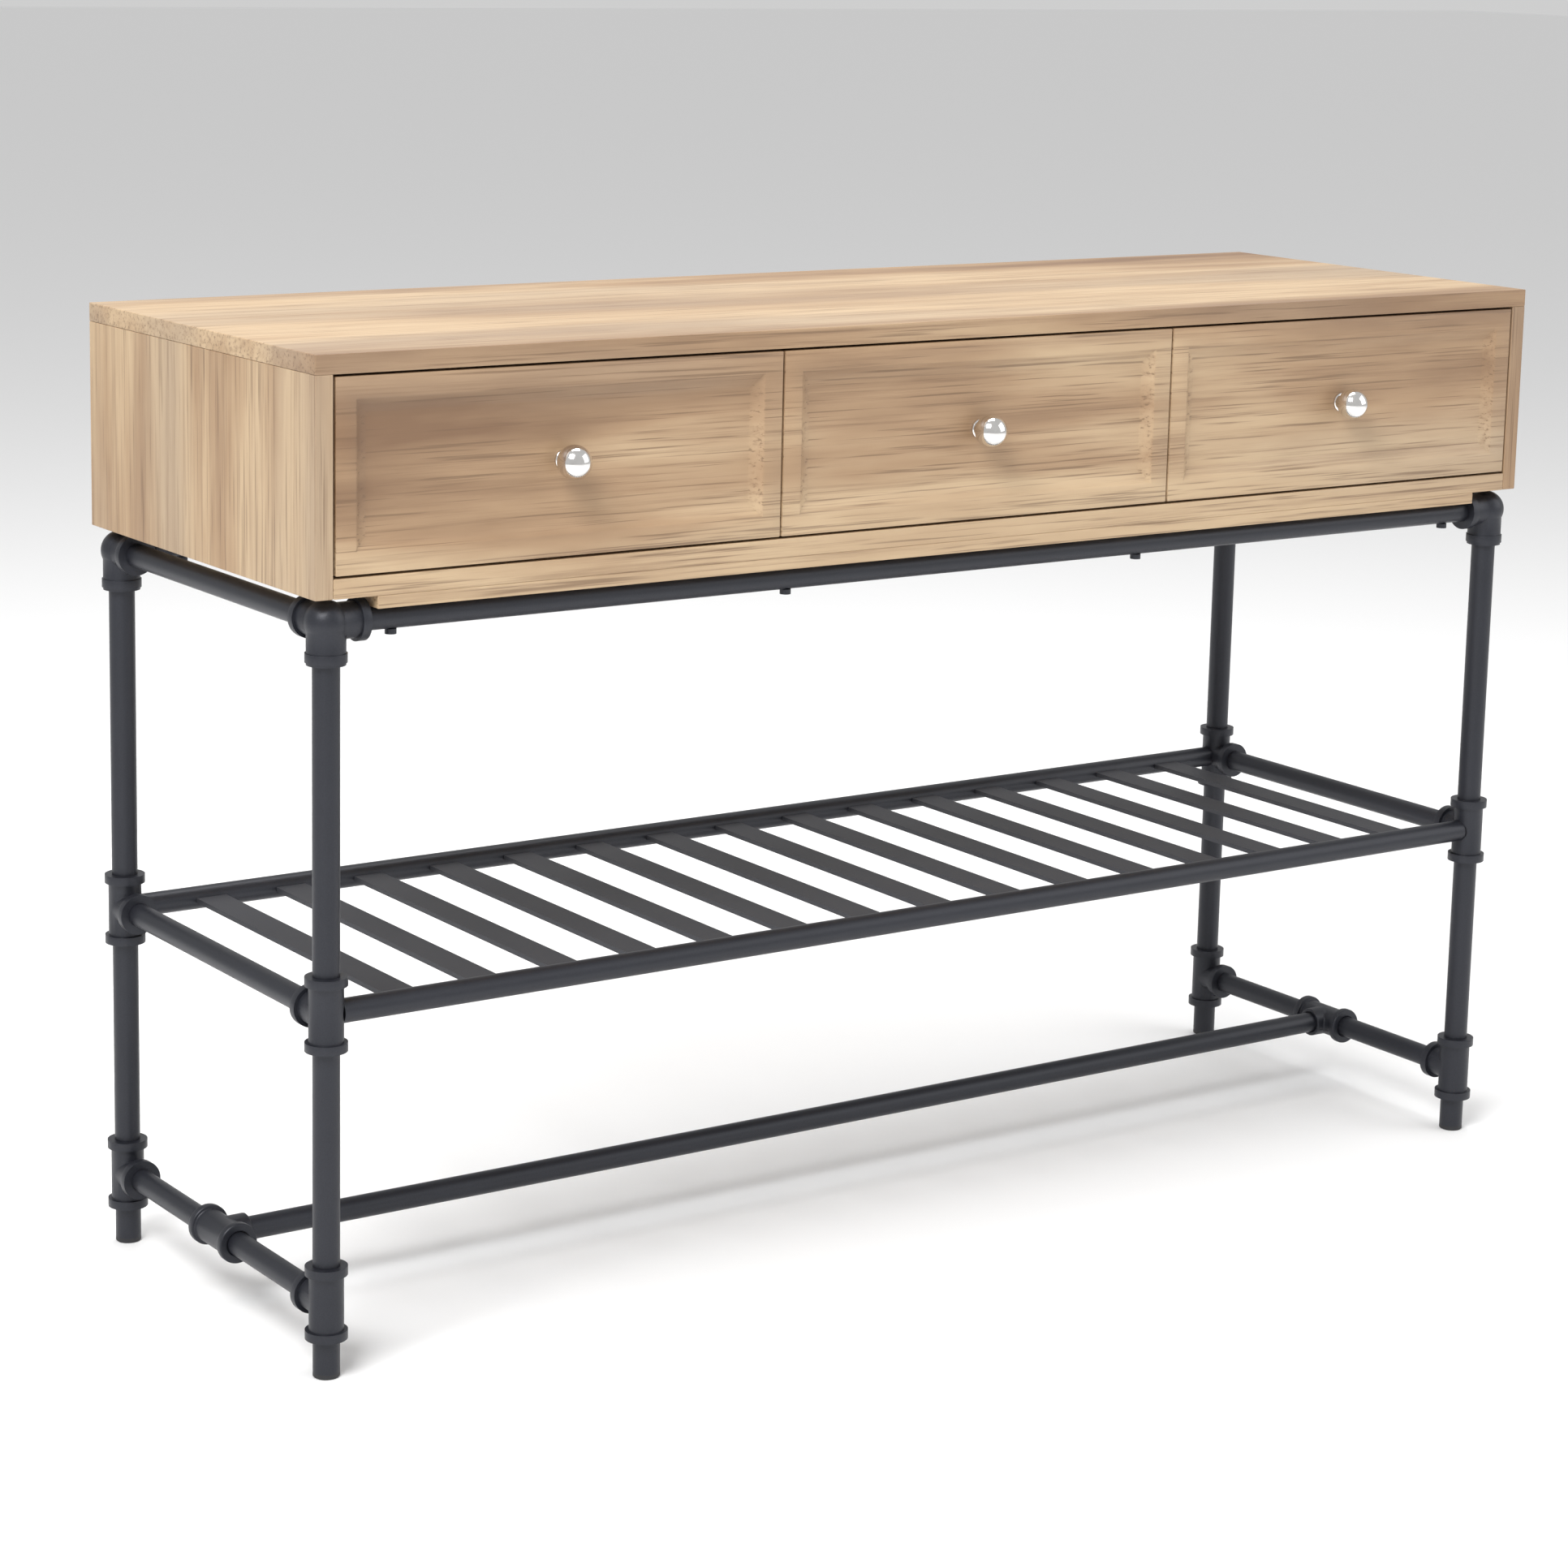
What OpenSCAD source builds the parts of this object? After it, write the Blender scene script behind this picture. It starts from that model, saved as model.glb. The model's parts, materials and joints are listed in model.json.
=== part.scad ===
// Console table: a wooden case with three drawers on a pipe frame with a slatted shelf.
// Front is -Y, right is +X, up is +Z. The floor is z = 0.

/* [Case] */
// width of the wooden case
case_w = 1219; // [1060:1:1420]
// depth of the wooden case, front edge to back edge
case_d = 389; // [350:1:470]
// height of the case's top face above the floor
case_top = 788; // [700:1:950]
// height of the case sides
case_h = 181; // [165:1:215]
// thickness of the top, side and bottom boards
board = 15; // [14:0.5:18]
// thickness of the back panel
back_t = 5; // [3:0.5:6]
// height of the spacer strips between case and frame
strip_h = 10; // [9:0.5:11]

/* [Drawers] */
// gap around each drawer front
front_gap = 2; // [1.5:0.1:3]
// thickness of a drawer front
front_t = 18; // [16:0.5:20]
// width of a drawer front's raised border
border_w = 17; // [14:0.5:20]
// width of the slope inside the border
slope_w = 11; // [8:0.5:14]
// depth of the sunken field
field_deep = 6; // [4:0.5:7]
// thickness of the drawer box sides and back
box_t = 12; // [10:0.5:13]
// height of the drawer box sides
box_h = 110; // [95:1:118]
// length of the drawer box behind its front
box_l = 330; // [290:1:335]
// diameter of a knob's head
knob_od = 27; // [24:1:32]
// how far a knob stands out of the case
knob_out = 24; // [20:1:28]

/* [Frame] */
// distance from the case's sides to the leg axes
inset_x = 18; // [16:0.5:20]
// distance from the case's front and back to the leg axes
inset_y = 17.5; // [16:0.5:20]
// outer diameter of a leg pipe
leg_od = 21; // [20:0.5:22]
// outer diameter of a rail pipe
rail_od = 19; // [17:0.5:20]
// wall thickness of the pipes
pipe_wall = 2; // [1.5:0.25:3]
// height of the shelf rails' axes
shelf_z = 288; // [240:1:330]
// height of the low rails' axes
low_z = 60; // [56:1:80]
// number of shelf slats
slat_n = 15; // [9:1:19]
// width of a shelf slat
slat_w = 27; // [20:1:32]

/* [Hidden] */
$fn = 48;
// clearance of a pipe in its socket
fit = 0.1;
leg_x = case_w / 2 - inset_x;
leg_y = case_d / 2 - inset_y;
// the knobs stand out in front, so the case sits back by half of that
mid_y = knob_out / 2;
front_y = -case_d / 2;
case_z = case_top - case_h;
strip_z = case_z - strip_h;
rail_r = rail_od / 2;
top_z = strip_z - rail_r;
leg_r = leg_od / 2;

// corner elbow
elbow_r = 15;
dome_r = 16.6;
elbow_reach = 30;
down_reach = 32;
bead_r = 16.5;
bead_l = 7;
rail_stop = 16;
leg_stop = 17;

// tees
sleeve_r = 13.5;
sleeve_l = 58;
branch_r = 14.2;
branch_reach = 28;

// foot
foot_h = 4;
foot_step = 1;

// slats
slat_t = 4;
slat_pitch = 2 * leg_x / (slat_n + 1);

// bolts
bolt_r = 4.5;
bolt_h = 4;
bolt_outer = 54;
bolt_inner = 411;

// packing strips
strip_w = 24;
strip_short = 52;

// inside of the case
inner_w = case_w - 2 * board;
front_pitch = (inner_w - front_gap) / 3;
front_w = front_pitch - front_gap;
divider_t = 12;
divider_back = 2;
field_z = case_z + board;
field_h = case_h - 2 * board;
front_h = field_h - 2 * front_gap;
cell_y = front_y + front_t + divider_back;
cell_l = case_d - front_t - divider_back - back_t;

// runners: a channel on the case and a bar on the drawer, side by side
side_room = 12.5;
channel_t = 1.2;
channel_h = 36;
channel_w = 9;
bar_h = 22;
bar_t = 8.5;
runner_l = 320;
runner_z = field_z + 62;
runner_y = front_y + front_t + 6;
box_half = (front_pitch - divider_t) / 2 - side_room;
box_z = field_z + 12;
bottom_t = 4;
bottom_up = 10;

// knob
stem_r = 5;
stem_l = 10;
base_r = 8;
base_l = 3;

// a cylinder whose axis starts at the origin and runs along +X
module rod_x(r, l)
{
    rotate([0, 90, 0]) cylinder(r = r, h = l);
}

// a cylinder whose axis starts at the origin and runs along +Y
module rod_y(r, l)
{
    rotate([-90, 0, 0]) cylinder(r = r, h = l);
}

// a pipe along +Z from the origin
module pipe(r, l)
{
    difference() {
        cylinder(r = r, h = l);
        translate([0, 0, -1]) cylinder(r = r - pipe_wall, h = l + 2);
    }
}

// at a leg: sx is -1 for left and 1 for right, sy is -1 for front and 1 for back
module at_leg(sx, sy, z)
{
    translate([sx * leg_x, sy * leg_y + mid_y, z]) children();
}

// corner elbow: one socket inwards along X, one inwards along Y, one down
module elbow(sx, sy)
{
    color("DimGray") at_leg(sx, sy, top_z) mirror([(1 + sx) / 2, 0, 0]) mirror([0, (1 + sy) / 2, 0])
        difference() {
            union() {
                sphere(r = dome_r);
                rod_x(elbow_r - 1, elbow_reach);
                translate([elbow_reach - bead_l, 0, 0]) rod_x(bead_r, bead_l);
                rod_y(elbow_r - 1, elbow_reach);
                translate([0, elbow_reach - bead_l, 0]) rod_y(bead_r, bead_l);
                translate([0, 0, -down_reach]) cylinder(r = elbow_r, h = down_reach);
                translate([0, 0, -down_reach + 2]) cylinder(r = elbow_r + 1, h = bead_l);
            }
            translate([rail_stop, 0, 0]) rod_x(rail_r + fit, elbow_reach);
            translate([0, rail_stop, 0]) rod_y(rail_r + fit, elbow_reach);
            translate([0, 0, -down_reach - 1]) cylinder(r = leg_r + fit, h = down_reach - leg_stop + 1);
        }
}

// leg pipe from the foot glide to the elbow's socket
module leg(sx, sy)
{
    color("DimGray") at_leg(sx, sy, foot_h) pipe(leg_r, top_z - leg_stop - foot_h);
}

// round glide caps under the legs
module foot_glides()
{
    color("Black")
        for (sx = [-1, 1])
            for (sy = [-1, 1])
                at_leg(sx, sy, 0) rotate_extrude() polygon([[0, 0], [leg_r - foot_step, 0],
                    [leg_r, foot_step], [leg_r, foot_h], [0, foot_h]]);
}

// tee on a leg: a sleeve with end beads, a beaded branch along Y and, on the shelf, a hole for the X rail
module leg_tee(sx, sy, z, with_x_rail)
{
    color("DimGray") at_leg(sx, sy, z) mirror([(1 + sx) / 2, 0, 0]) mirror([0, (1 + sy) / 2, 0])
        difference() {
            union() {
                translate([0, 0, -sleeve_l / 2]) cylinder(r = sleeve_r, h = sleeve_l);
                for (s = [-1, 1])
                    translate([0, 0, s * (sleeve_l - bead_l) / 2 - bead_l / 2]) cylinder(r = bead_r, h = bead_l);
                rod_y(branch_r - 1, branch_reach);
                translate([0, branch_reach - bead_l, 0]) rod_y(bead_r, bead_l);
            }
            translate([0, 0, -sleeve_l]) cylinder(r = leg_r + fit, h = 2 * sleeve_l);
            translate([0, rail_stop, 0]) rod_y(rail_r + fit, branch_reach);
            if (with_x_rail)
                rod_x(rail_r + fit, branch_reach);
        }
}

// a rail along X between two points the given distance inside the leg axes
module rail_along_x(sy, z, stop)
{
    color("DimGray") translate([-leg_x + stop, sy * leg_y + mid_y, z])
        rotate([0, 90, 0]) pipe(rail_r, 2 * (leg_x - stop));
}

// a rail along Y at the left or the right
module rail_along_y(sx, z)
{
    color("DimGray") translate([sx * leg_x, -leg_y + rail_stop + mid_y, z])
        rotate([-90, 0, 0]) pipe(rail_r, 2 * (leg_y - rail_stop));
}

// tee half way along a low rail, with a plain branch for the stretcher
module mid_tee(sx)
{
    color("DimGray") translate([sx * leg_x, mid_y, low_z]) mirror([(1 + sx) / 2, 0, 0])
        difference() {
            union() {
                translate([0, -sleeve_l / 2, 0]) rod_y(sleeve_r, sleeve_l);
                for (s = [-1, 1])
                    translate([0, s * (sleeve_l - bead_l) / 2 - bead_l / 2, 0]) rod_y(bead_r, bead_l);
                rod_x(branch_r - 1, branch_reach - bead_l);
            }
            translate([0, -sleeve_l, 0]) rod_y(rail_r + fit, 2 * sleeve_l);
            rod_x(rail_r + fit, branch_reach);
        }
}

// long low pipe between the two mid tees
module stretcher()
{
    color("DimGray") translate([-leg_x + rail_r + 1, mid_y, low_z])
        rotate([0, 90, 0]) pipe(rail_r, 2 * (leg_x - rail_r - 1));
}

// flat bars between the front and back shelf rails
module shelf_slats()
{
    color("Gray")
        for (i = [1 : slat_n])
            translate([-leg_x + i * slat_pitch - slat_w / 2, -leg_y + rail_r + fit + mid_y, shelf_z - slat_t / 2])
                cube([slat_w, 2 * (leg_y - rail_r - fit), slat_t]);
}

// round bolt heads under the long top rails
module rail_bolts()
{
    color("DimGray")
        for (sy = [-1, 1])
            for (x = [-leg_x + bolt_outer, -leg_x + bolt_inner, leg_x - bolt_inner, leg_x - bolt_outer])
                translate([x, sy * leg_y + mid_y, top_z - rail_r - bolt_h])
                    cylinder(r = bolt_r, h = bolt_h);
}

// top board over the full case
module top_panel()
{
    color("Tan") translate([-case_w / 2, front_y + mid_y, case_top - board]) cube([case_w, case_d, board]);
}

// bottom board between the sides
module bottom_panel()
{
    color("Tan") translate([-inner_w / 2, front_y + mid_y, case_z]) cube([inner_w, case_d - back_t, board]);
}

// side board under the top board
module side_panel(sx)
{
    color("Tan") translate([sx * (case_w - board) / 2 - board / 2, front_y + mid_y, case_z])
        cube([board, case_d, case_h - board]);
}

// thin panel let in at the back
module back_panel()
{
    color("BurlyWood") translate([-inner_w / 2, case_d / 2 - back_t + mid_y, case_z])
        cube([inner_w, back_t, case_h - board]);
}

// strip that packs the case off the long rail
module strip(sy)
{
    color("Tan") translate([-case_w / 2 + strip_short, sy * (case_d - strip_w) / 2 - strip_w / 2 + mid_y, strip_z])
        cube([case_w - 2 * strip_short, strip_w, strip_h]);
}

// two upright boards between the drawers
module dividers()
{
    color("BurlyWood")
        for (s = [-1, 1])
            translate([s * front_pitch / 2 - divider_t / 2, cell_y + mid_y, field_z])
                cube([divider_t, cell_l, field_h]);
}

// outline of the channel that is fixed to the case, open towards +X
module channel_outline()
{
    difference() {
        translate([0, -channel_h / 2]) square([channel_w, channel_h]);
        translate([channel_t, -channel_h / 2 + channel_t]) square([channel_w, channel_h - 2 * channel_t]);
    }
}

// one channel; s is 1 when it opens towards +X
module channel(x, s)
{
    translate([x, runner_y + mid_y, runner_z]) mirror([(1 - s) / 2, 0, 0])
        rotate([90, 0, 0]) translate([0, 0, -runner_l]) linear_extrude(height = runner_l) channel_outline();
}

// channels on both sides of each drawer
module case_runners()
{
    color("Silver") {
        channel(-inner_w / 2, 1);
        channel(-front_pitch / 2 - divider_t / 2, -1);
        channel(-front_pitch / 2 + divider_t / 2, 1);
        channel(front_pitch / 2 - divider_t / 2, -1);
        channel(front_pitch / 2 + divider_t / 2, 1);
        channel(inner_w / 2, -1);
    }
}

// middle of the space between the case side or divider on the left and the one on the right of drawer i
function cell_left(i) = i < 0 ? -inner_w / 2 : i * front_pitch - front_pitch / 2 + divider_t / 2;
function cell_right(i) = i > 0 ? inner_w / 2 : i * front_pitch + front_pitch / 2 - divider_t / 2;
function box_left(i) = cell_left(i) + side_room;
function box_right(i) = cell_right(i) - side_room;

// moulded drawer front: border, slope and sunken flat field
module drawer_front(i)
{
    color("Wheat") translate([i * front_pitch, front_y + mid_y, field_z + field_h / 2])
        difference() {
            translate([-front_w / 2, 0, -front_h / 2]) cube([front_w, front_t, front_h]);
            field_cut();
        }
}

// the sunken field's body, a box with four sloping sides
module field_cut()
{
    w = front_w / 2 - border_w;
    h = front_h / 2 - border_w;
    intersection() {
        rotate([90, 0, 90]) translate([0, 0, -front_w]) linear_extrude(height = 2 * front_w)
            polygon([[0, -h], [field_deep, slope_w - h], [field_deep, h - slope_w], [0, h],
                [-1, h], [-1, -h]]);
        linear_extrude(height = 2 * front_w, center = true)
            polygon([[-w, 0], [slope_w - w, field_deep], [w - slope_w, field_deep], [w, 0], [w, -1], [-w, -1]]);
    }
}

// the drawer box's two sides
module drawer_sides(i)
{
    color("BurlyWood")
        for (x = [box_left(i), box_right(i) - box_t])
            translate([x, front_y + front_t + mid_y, box_z]) cube([box_t, box_l, box_h]);
}

// the drawer box's back
module drawer_back(i)
{
    color("BurlyWood") translate([box_left(i) + box_t, front_y + front_t + box_l - box_t + mid_y, box_z])
        cube([box_right(i) - box_left(i) - 2 * box_t, box_t, box_h]);
}

// the drawer box's bottom
module drawer_bottom(i)
{
    color("BurlyWood") translate([box_left(i) + box_t, front_y + front_t + mid_y, box_z + bottom_up])
        cube([box_right(i) - box_left(i) - 2 * box_t, box_l - box_t, bottom_t]);
}

// the bars on the drawer's sides that run in the channels
module drawer_bars(i)
{
    color("Silver")
        for (x = [box_left(i) - bar_t, box_right(i)])
            translate([x, runner_y + mid_y, runner_z - bar_h / 2]) cube([bar_t, runner_l, bar_h]);
}

// round knob, turned about the Y axis
module knob(i)
{
    head_l = knob_out + field_deep - stem_l;
    color("Silver") translate([i * front_pitch, front_y + field_deep + mid_y, field_z + field_h / 2])
        rotate([90, 0, 0]) {
            cylinder(r = base_r, h = base_l);
            cylinder(r = stem_r, h = stem_l + 2);
            translate([0, 0, stem_l]) rotate_extrude()
                intersection() {
                    translate([0, head_l - knob_od / 2]) circle(r = knob_od / 2);
                    square([knob_od, knob_od]);
                }
        }
}

elbow(-1, -1);  // elbow_front_left
elbow(1, -1);  // elbow_front_right
elbow(-1, 1);  // elbow_back_left
elbow(1, 1);  // elbow_back_right
leg(-1, -1);  // leg_front_left
leg(1, -1);  // leg_front_right
leg(-1, 1);  // leg_back_left
leg(1, 1);  // leg_back_right
foot_glides();
leg_tee(-1, -1, shelf_z, true);  // shelf_tee_front_left
leg_tee(1, -1, shelf_z, true);  // shelf_tee_front_right
leg_tee(-1, 1, shelf_z, true);  // shelf_tee_back_left
leg_tee(1, 1, shelf_z, true);  // shelf_tee_back_right
leg_tee(-1, -1, low_z, false);  // low_tee_front_left
leg_tee(1, -1, low_z, false);  // low_tee_front_right
leg_tee(-1, 1, low_z, false);  // low_tee_back_left
leg_tee(1, 1, low_z, false);  // low_tee_back_right
rail_along_x(-1, top_z, rail_stop);  // top_rail_front
rail_along_x(1, top_z, rail_stop);  // top_rail_back
rail_along_y(-1, top_z);  // top_rail_left
rail_along_y(1, top_z);  // top_rail_right
rail_along_x(-1, shelf_z, leg_r + 1);  // shelf_rail_front
rail_along_x(1, shelf_z, leg_r + 1);  // shelf_rail_back
rail_along_y(-1, shelf_z);  // shelf_rail_left
rail_along_y(1, shelf_z);  // shelf_rail_right
rail_along_y(-1, low_z);  // low_rail_left
rail_along_y(1, low_z);  // low_rail_right
mid_tee(-1);  // mid_tee_left
mid_tee(1);  // mid_tee_right
stretcher();
shelf_slats();
rail_bolts();
top_panel();
bottom_panel();
side_panel(-1);  // left_panel
side_panel(1);  // right_panel
back_panel();
strip(-1);  // strip_front
strip(1);  // strip_back
dividers();
case_runners();
drawer_front(-1);  // drawer_left_front
drawer_sides(-1);  // drawer_left_sides
drawer_back(-1);  // drawer_left_back
drawer_bottom(-1);  // drawer_left_bottom
knob(-1);  // drawer_left_knob
drawer_bars(-1);  // drawer_left_bars
drawer_front(0);  // drawer_mid_front
drawer_sides(0);  // drawer_mid_sides
drawer_back(0);  // drawer_mid_back
drawer_bottom(0);  // drawer_mid_bottom
knob(0);  // drawer_mid_knob
drawer_bars(0);  // drawer_mid_bars
drawer_front(1);  // drawer_right_front
drawer_sides(1);  // drawer_right_sides
drawer_back(1);  // drawer_right_back
drawer_bottom(1);  // drawer_right_bottom
knob(1);  // drawer_right_knob
drawer_bars(1);  // drawer_right_bars
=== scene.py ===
"""Console table: wooden case with three drawers on a pipe frame with a slatted shelf."""
import json
import math

import bmesh
import bpy
from mathutils import Matrix, Vector


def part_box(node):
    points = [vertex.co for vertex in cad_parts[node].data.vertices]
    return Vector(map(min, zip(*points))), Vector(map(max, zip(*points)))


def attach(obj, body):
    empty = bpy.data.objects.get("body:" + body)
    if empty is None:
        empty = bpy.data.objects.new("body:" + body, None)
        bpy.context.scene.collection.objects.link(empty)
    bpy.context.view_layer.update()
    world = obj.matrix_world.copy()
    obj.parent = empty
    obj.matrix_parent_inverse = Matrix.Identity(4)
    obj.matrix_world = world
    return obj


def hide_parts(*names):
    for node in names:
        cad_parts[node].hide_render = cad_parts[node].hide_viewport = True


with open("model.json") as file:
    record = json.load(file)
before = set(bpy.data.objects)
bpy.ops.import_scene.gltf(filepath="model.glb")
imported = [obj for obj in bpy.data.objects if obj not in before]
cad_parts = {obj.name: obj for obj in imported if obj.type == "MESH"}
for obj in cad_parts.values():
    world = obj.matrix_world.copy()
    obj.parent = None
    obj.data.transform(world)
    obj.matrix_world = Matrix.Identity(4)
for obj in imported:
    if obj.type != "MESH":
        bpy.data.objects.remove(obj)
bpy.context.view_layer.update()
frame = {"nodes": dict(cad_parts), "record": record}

DRAWERS = ("left", "mid", "right")
BOARDS = ("top_panel", "bottom_panel", "left_panel", "right_panel", "strip_front", "strip_back")
UPRIGHT = ("left_panel", "right_panel")
FITTINGS = ("elbow", "shelf_tee", "low_tee", "mid_tee")

# radius of the rounding on sharp edges, and the least angle in degrees that counts as sharp
BOARD_EASE = (0.0009, 30)
FITTING_EASE = (0.0014, 38)
FRONT_EASE = (0.0007, 15)
EASE_STEPS = 3
FRONT_EASE_STEPS = 2
WELD_REACH = 0.00001
SLOT_OF = {part["node"]: part["material_slot"] for part in frame["record"]["subparts"]}


# ---------------------------------------------------------------- shader maths

class Value:
    """A socket that can be added to, multiplied and so on."""

    def __init__(self, maker, socket):
        self.maker = maker
        self.socket = socket

    def math(self, operation, first, second):
        return self.maker.add("ShaderNodeMath", {"operation": operation}, {0: first, 1: second})

    def __add__(self, other):
        return self.math("ADD", self, other)

    def __mul__(self, other):
        return self.math("MULTIPLY", self, other)

    __radd__ = __add__
    __rmul__ = __mul__


class Finish:
    """One material and the nodes that it is built from."""

    def __init__(self, name):
        self.material = bpy.data.materials.new(name)
        self.material.use_nodes = True
        self.tree = self.material.node_tree
        self.shader = next(n for n in self.tree.nodes if n.type == "BSDF_PRINCIPLED")
        coordinates = self.tree.nodes.new("ShaderNodeTexCoord")
        self.place = Value(self, coordinates.outputs["Object"])

    def put(self, socket, value):
        if isinstance(value, Value):
            self.tree.links.new(value.socket, socket)
        else:
            socket.default_value = value

    def add(self, kind, settings, inputs, output=0):
        node = self.tree.nodes.new(kind)
        for name, value in settings.items():
            if name == "stops":
                self.set_stops(node.color_ramp, value)
            else:
                setattr(node, name, value)
        for name, value in inputs.items():
            self.put(node.inputs[name], value)
        return Value(self, node.outputs[output])

    def set_stops(self, ramp, stops):
        while len(ramp.elements) < len(stops):
            ramp.elements.new(0.5)
        for element, (position, colour) in zip(ramp.elements, stops):
            element.position = position
            element.color = colour

    def stretched(self, scale, shift=(0, 0, 0)):
        return self.add("ShaderNodeMapping", {}, {"Vector": self.place, "Scale": scale, "Location": shift})

    def noise(self, vector, scale, detail=4.0, rough=0.5):
        inputs = {"Vector": vector, "Scale": scale, "Detail": detail, "Roughness": rough}
        return self.add("ShaderNodeTexNoise", {}, inputs)

    def ramp(self, value, stops):
        return self.add("ShaderNodeValToRGB", {"stops": stops}, {"Fac": value})

    def blend(self, factor, first, second):
        inputs = {0: factor, 6: first, 7: second}
        return self.add("ShaderNodeMix", {"data_type": "RGBA"}, inputs, 2)

    def bump(self, height, strength, distance):
        inputs = {"Height": height, "Strength": strength, "Distance": distance}
        return self.add("ShaderNodeBump", {}, inputs)

    def shade(self, **inputs):
        for name, value in inputs.items():
            self.put(self.shader.inputs[name.replace("_", " ")], value)
        return self.material


# ---------------------------------------------------------------- finishes

CREAM = (0.50, 0.365, 0.225, 1)
TAN = (0.35, 0.228, 0.13, 1)
BROWN = (0.19, 0.108, 0.058, 1)
TAUPE = (0.30, 0.232, 0.17, 1)
GRAIN_DARK = (0.13, 0.075, 0.04, 1)
BLACK = (0, 0, 0, 1)
WHITE = (1, 1, 1, 1)


def oak(name, along, shift):
    """Rustic oak laminate: blotchy bands, fine dark grain lines; along is the stretch of each axis."""
    f = Finish(name)
    grain = f.stretched(along, shift)
    long_grain = tuple(a * a for a in along)
    warp = f.noise(f.stretched(tuple(a * 0.6 for a in along), shift), 9.0, 3.0)
    bands = f.noise(grain, 8.5, 5.0, 0.55)
    tint = f.noise(grain, 5.0, 3.0, 0.5)
    fine = f.noise(f.stretched(long_grain, shift), 210.0, 5.0, 0.7)
    pores = f.noise(f.stretched(long_grain, shift), 420.0, 2.0, 0.6)
    mixed = bands * 0.7 + warp * 0.3
    tones = f.ramp(mixed, [(0.37, BROWN), (0.46, TAN), (0.54, CREAM), (0.66, TAN)])
    greyed = f.blend(f.ramp(tint, [(0.48, BLACK), (0.66, WHITE)]) * 0.75, tones, TAUPE)
    lines = f.ramp(fine, [(0.36, WHITE), (0.52, BLACK)])
    dark_lines = f.ramp(pores, [(0.33, WHITE), (0.42, BLACK)])
    coloured = f.blend(lines * 0.42, greyed, BROWN)
    finished = f.blend(dark_lines * 0.5, coloured, GRAIN_DARK)
    relief = f.bump(fine * 0.7 + pores * 0.3, 0.35, 0.0006)
    return f.shade(Base_Color=finished, Roughness=fine * 0.16 + 0.46, Normal=relief)


def inner_board():
    """Pale plain board inside the case."""
    f = Finish("inner_board")
    grain = f.noise(f.stretched((0.1, 1, 1)), 160.0, 4.0)
    tone = f.blend(grain, (0.52, 0.4, 0.26, 1), (0.62, 0.5, 0.35, 1))
    return f.shade(Base_Color=tone, Roughness=grain * 0.15 + 0.55, Normal=f.bump(grain, 0.2, 0.0004))


def coated_metal(name, dark, light, rough):
    """Sandy black coating: fine speckle, broad soft variation."""
    f = Finish(name)
    speck = f.noise(f.place, 900.0, 3.0, 0.6)
    broad = f.noise(f.place, 14.0, 3.0)
    tone = f.blend(speck * 0.6 + broad * 0.4, dark, light)
    relief = f.bump(speck, 0.35, 0.0003)
    gloss = broad * 0.12 + speck * 0.1 + rough
    return f.shade(Base_Color=tone, Metallic=0.35, Roughness=gloss, Normal=relief)


def polished_knob():
    """Mirror-bright plated metal with faint wiping marks."""
    f = Finish("knob_metal")
    marks = f.noise(f.stretched((1, 0.2, 1)), 260.0, 3.0)
    tone = f.blend(marks, (0.72, 0.7, 0.68, 1), (0.86, 0.85, 0.83, 1))
    relief = f.bump(marks, 0.04, 0.0002)
    return f.shade(Base_Color=tone, Metallic=1.0, Roughness=marks * 0.08 + 0.07, Normal=relief)


def zinc_steel():
    """Zinc-plated runner steel, drawn along its length."""
    f = Finish("runner_steel")
    drawn = f.noise(f.stretched((1, 0.03, 1)), 500.0, 3.0)
    tone = f.blend(drawn, (0.5, 0.5, 0.52, 1), (0.66, 0.66, 0.68, 1))
    relief = f.bump(drawn, 0.1, 0.0002)
    return f.shade(Base_Color=tone, Metallic=1.0, Roughness=drawn * 0.15 + 0.28, Normal=relief)


def glide_plastic():
    """Moulded black foot glides."""
    f = Finish("glide_plastic")
    speck = f.noise(f.place, 700.0, 2.0)
    tone = f.blend(speck, (0.012, 0.012, 0.014, 1), (0.024, 0.024, 0.027, 1))
    return f.shade(Base_Color=tone, Roughness=speck * 0.1 + 0.5, Normal=f.bump(speck, 0.15, 0.0002))


ALONG_X = (0.13, 1, 1)
ALONG_Z = (1, 1, 0.13)
FINISHES = {
    "oak_laminate": oak("oak_along", ALONG_X, (0.3, 0.1, 0.2)),
    "inner_board": inner_board(),
    "frame_metal": coated_metal("frame_metal", (0.010, 0.011, 0.015, 1), (0.032, 0.034, 0.044, 1), 0.3),
    "slat_metal": coated_metal("slat_metal", (0.028, 0.029, 0.034, 1), (0.055, 0.056, 0.066, 1), 0.42),
    "knob_metal": polished_knob(),
    "runner_steel": zinc_steel(),
    "glide_plastic": glide_plastic(),
}
OAK_UPRIGHT = oak("oak_upright", ALONG_Z, (0.3, 0.1, 0.2))


def finish_frame():
    """Every CAD node takes the finish of its slot, and sharp edges are eased."""
    for name, node in frame["nodes"].items():
        node.data.materials.clear()
        node.data.materials.append(OAK_UPRIGHT if name in UPRIGHT else FINISHES[SLOT_OF[name]])
        if name in BOARDS:
            ease_edges(node, *BOARD_EASE)
        elif name.startswith(FITTINGS):
            ease_edges(node, *FITTING_EASE)


def ease_edges(node, width, angle):
    """Welds the loose faces and rounds the sharp edges with live modifiers."""
    weld = node.modifiers.new("weld", "WELD")
    weld.merge_threshold = WELD_REACH
    bevel = node.modifiers.new("eased", "BEVEL")
    bevel.width = width
    bevel.segments = EASE_STEPS
    bevel.limit_method = "ANGLE"
    bevel.angle_limit = math.radians(angle)


# ---------------------------------------------------------------- modelling

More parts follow.
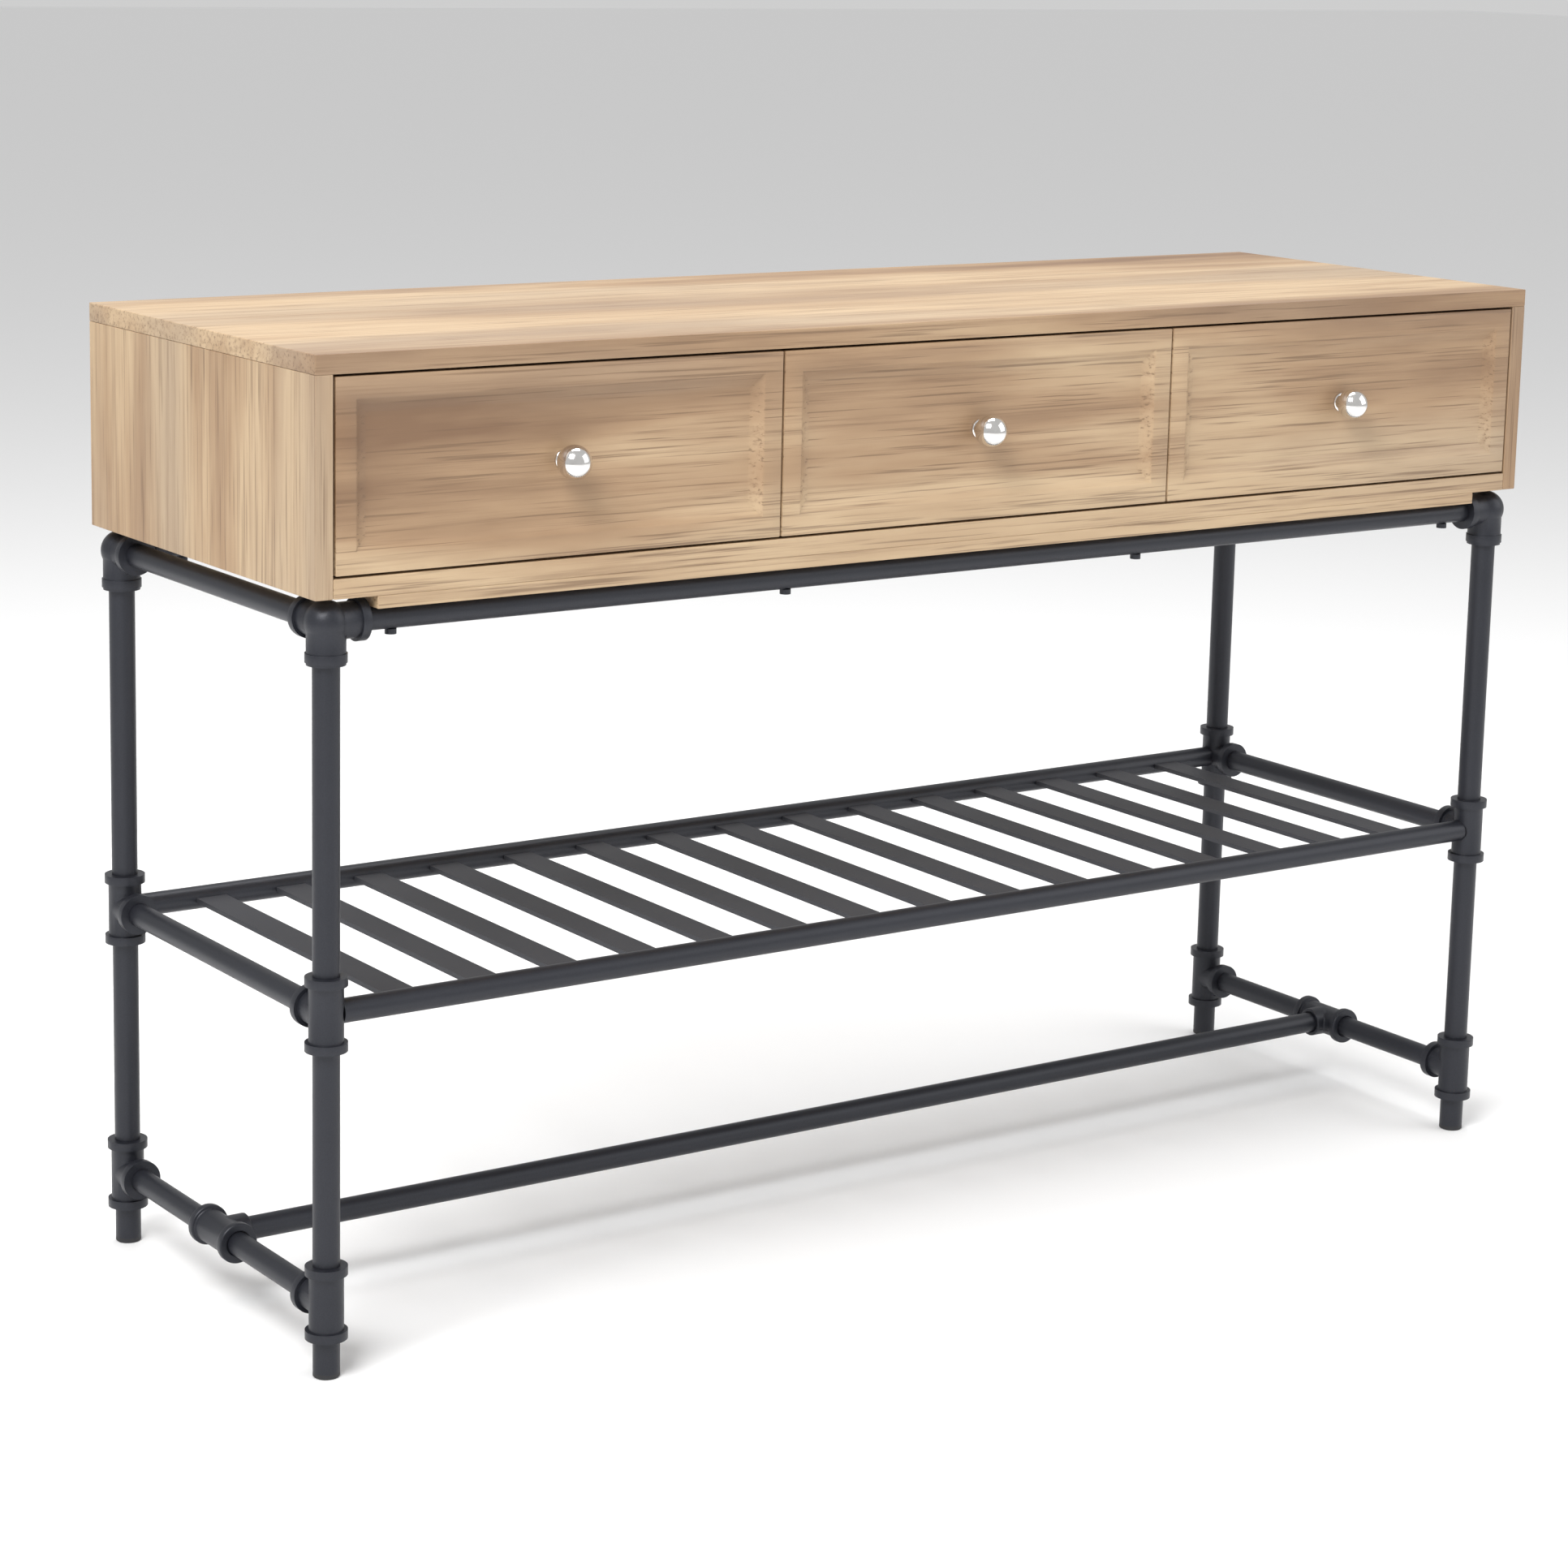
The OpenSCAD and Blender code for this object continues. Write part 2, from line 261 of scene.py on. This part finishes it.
def start_clean():
    """Back to object mode with nothing selected."""
    if bpy.context.object and bpy.context.object.mode != "OBJECT":
        bpy.ops.object.mode_set(mode="OBJECT")
    bpy.ops.object.select_all(action="DESELECT")


def finish_piece(piece, name, body, slot, *nodes):
    """Names the piece, gives it its finish and joins it to its body."""
    piece.name = name
    piece.data.materials.clear()
    piece.data.materials.append(FINISHES[slot])
    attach(piece, body)
    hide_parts(*nodes)


def select_facing(direction):
    """In edit mode, selects only the faces that look along direction."""
    mesh = bmesh.from_edit_mesh(bpy.context.object.data)
    bpy.ops.mesh.select_all(action="DESELECT")
    for face in mesh.faces:
        face.select = face.normal.dot(Vector(direction)) > FACING
    bmesh.update_edit_mesh(bpy.context.object.data)


# edges flatter than this many degrees are shaded smooth
FRONT_SMOOTH = 30
KNOB_SMOOTH = 40
# least cosine between a face's normal and the wanted direction
FACING = 0.9
# width and depth of each step of the moulding, from the border inwards
MOULDING = ((0.0168, 0), (0.0012, -0.0012), (0.0035, -0.0026), (0.0035, -0.0014), (0.0028, -0.0008))


def drawer_front(side):
    """A slab with a flat border, a hollow slope and a sunken field."""
    start_clean()
    node = f"drawer_{side}_front"
    low, high = (Vector(corner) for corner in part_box(node))
    bpy.ops.mesh.primitive_cube_add(size=1, location=(low + high) / 2, scale=high - low)
    piece = bpy.context.object
    bpy.ops.object.transform_apply(location=True, rotation=True, scale=True)
    bpy.ops.object.mode_set(mode="EDIT")
    bpy.ops.mesh.select_mode(type="FACE")
    select_facing((0, -1, 0))
    for width, depth in MOULDING:
        bpy.ops.mesh.inset(thickness=width, depth=depth)
    bpy.ops.object.mode_set(mode="OBJECT")
    bevel = piece.modifiers.new("eased", "BEVEL")
    bevel.width = FRONT_EASE[0]
    bevel.segments = FRONT_EASE_STEPS
    bevel.limit_method = "ANGLE"
    bevel.angle_limit = math.radians(FRONT_EASE[1])
    bpy.ops.object.modifier_apply(modifier=bevel.name)
    bpy.ops.object.shade_smooth_by_angle(angle=math.radians(FRONT_SMOOTH))
    finish_piece(piece, f"front_{side}", f"drawer_{side}", "oak_laminate", node)


KNOB_FOOT_RADIUS = 0.008
KNOB_SIDES = 48
# distance from the sunken field and radius of each ring of the knob's stem
KNOB_STEM = ((0.0022, 0.008), (0.003, 0.0072), (0.0036, 0.0052), (0.0075, 0.0046), (0.0092, 0.0056))
# angles of the rings of the round head, in degrees above its widest place
HEAD_ANGLES = (-26, -18, -8, 4, 16, 28, 40, 52, 63, 73, 81, 87)


def knob(side):
    """A turned knob: foot, waist and round head, drawn out ring by ring."""
    start_clean()
    node = f"drawer_{side}_knob"
    low, high = (Vector(corner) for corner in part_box(node))
    centre = (low + high) / 2
    radius = (high.x - low.x) / 2
    head = high.y - low.y - radius
    rings = list(KNOB_STEM)
    for angle in HEAD_ANGLES:
        turn = math.radians(angle)
        rings.append((head + radius * math.sin(turn), radius * math.cos(turn)))
    width = KNOB_FOOT_RADIUS
    bpy.ops.mesh.primitive_circle_add(vertices=KNOB_SIDES, radius=width, fill_type="NGON",
                                      location=(centre.x, high.y, centre.z), rotation=(math.pi / 2, 0, 0))
    piece = bpy.context.object
    bpy.ops.object.transform_apply(location=True, rotation=True, scale=True)
    bpy.ops.object.mode_set(mode="EDIT")
    bpy.ops.mesh.select_all(action="SELECT")
    reached = 0
    for out, ring_radius in rings:
        move = {"value": (0, reached - out, 0)}
        bpy.ops.mesh.extrude_region_move(TRANSFORM_OT_translate=move)
        grow = ring_radius / width
        middle = (centre.x, high.y - out, centre.z)
        bpy.ops.transform.resize(value=(grow, 1, grow), center_override=middle)
        width = ring_radius
        reached = out
    bpy.ops.mesh.select_all(action="SELECT")
    bpy.ops.mesh.normals_make_consistent(inside=False)
    bpy.ops.object.mode_set(mode="OBJECT")
    bpy.ops.object.shade_smooth_by_angle(angle=math.radians(KNOB_SMOOTH))
    finish_piece(piece, f"knob_{side}", f"drawer_{side}", "knob_metal", node)


# ---------------------------------------------------------------- studio

FLOOR_SIZE = 60
FLOOR_COLOUR = (0.93, 0.93, 0.93, 1)
WORLD_STRENGTH = 0.62
LAMP_AIM = Vector((0, 0, 0.45))
# name, place, size in metres and power in watts
LAMPS = (
    ("key", (-2.6, -1.6, 3.4), 1.8, 150),
    ("fill", (3.0, -2.4, 2.2), 3.0, 45),
    ("top", (0.2, 0.6, 3.6), 2.0, 70),
)
CAMERA_AT = (-1.8976, -2.6459, 1.12)
# the camera's turn to the right, dip below level and roll, in radians
CAMERA_TURN = 0.60532
CAMERA_DIP = 0.18775
CAMERA_ROLL = 0.02224
LENS = 88.24
LENS_SHIFT = -0.1
SENSOR = 36


def studio_floor():
    """Plain pale floor."""
    start_clean()
    bpy.ops.mesh.primitive_plane_add(size=FLOOR_SIZE, location=(0, 0, 0))
    floor = bpy.context.object
    floor.name = "floor"
    f = Finish("pale_floor")
    floor.data.materials.append(f.shade(Base_Color=FLOOR_COLOUR, Roughness=0.9))


def soft_light(name, place, size, power):
    """A large soft lamp that looks at the middle of the table."""
    lamp = bpy.data.lights.new(name, "AREA")
    lamp.size = size
    lamp.energy = power
    holder = bpy.data.objects.new(name, lamp)
    bpy.context.scene.collection.objects.link(holder)
    holder.location = place
    aim = LAMP_AIM - Vector(place)
    holder.rotation_euler = aim.to_track_quat("-Z", "Y").to_euler()


def studio_world():
    """Even pale surroundings."""
    world = bpy.data.worlds.new("studio")
    world.use_nodes = True
    background = world.node_tree.nodes["Background"]
    background.inputs["Color"].default_value = (1, 1, 1, 1)
    background.inputs["Strength"].default_value = WORLD_STRENGTH
    bpy.context.scene.world = world


def camera():
    """Long lens, in front and to the left, a little above the top."""
    lens = bpy.data.cameras.new("camera")
    lens.sensor_width = SENSOR
    lens.lens = LENS
    lens.shift_y = LENS_SHIFT
    holder = bpy.data.objects.new("camera", lens)
    bpy.context.scene.collection.objects.link(holder)
    turn = Matrix.Rotation(-CAMERA_TURN, 4, "Z")
    dip = Matrix.Rotation(math.pi / 2 - CAMERA_DIP, 4, "X")
    roll = Matrix.Rotation(CAMERA_ROLL, 4, "Z")
    holder.matrix_world = Matrix.Translation(CAMERA_AT) @ turn @ dip @ roll
    bpy.context.scene.camera = holder


finish_frame()
for side in DRAWERS:
    drawer_front(side)
    knob(side)
studio_floor()
for lamp in LAMPS:
    soft_light(*lamp)
studio_world()
camera()
bpy.context.scene.view_settings.view_transform = "Standard"
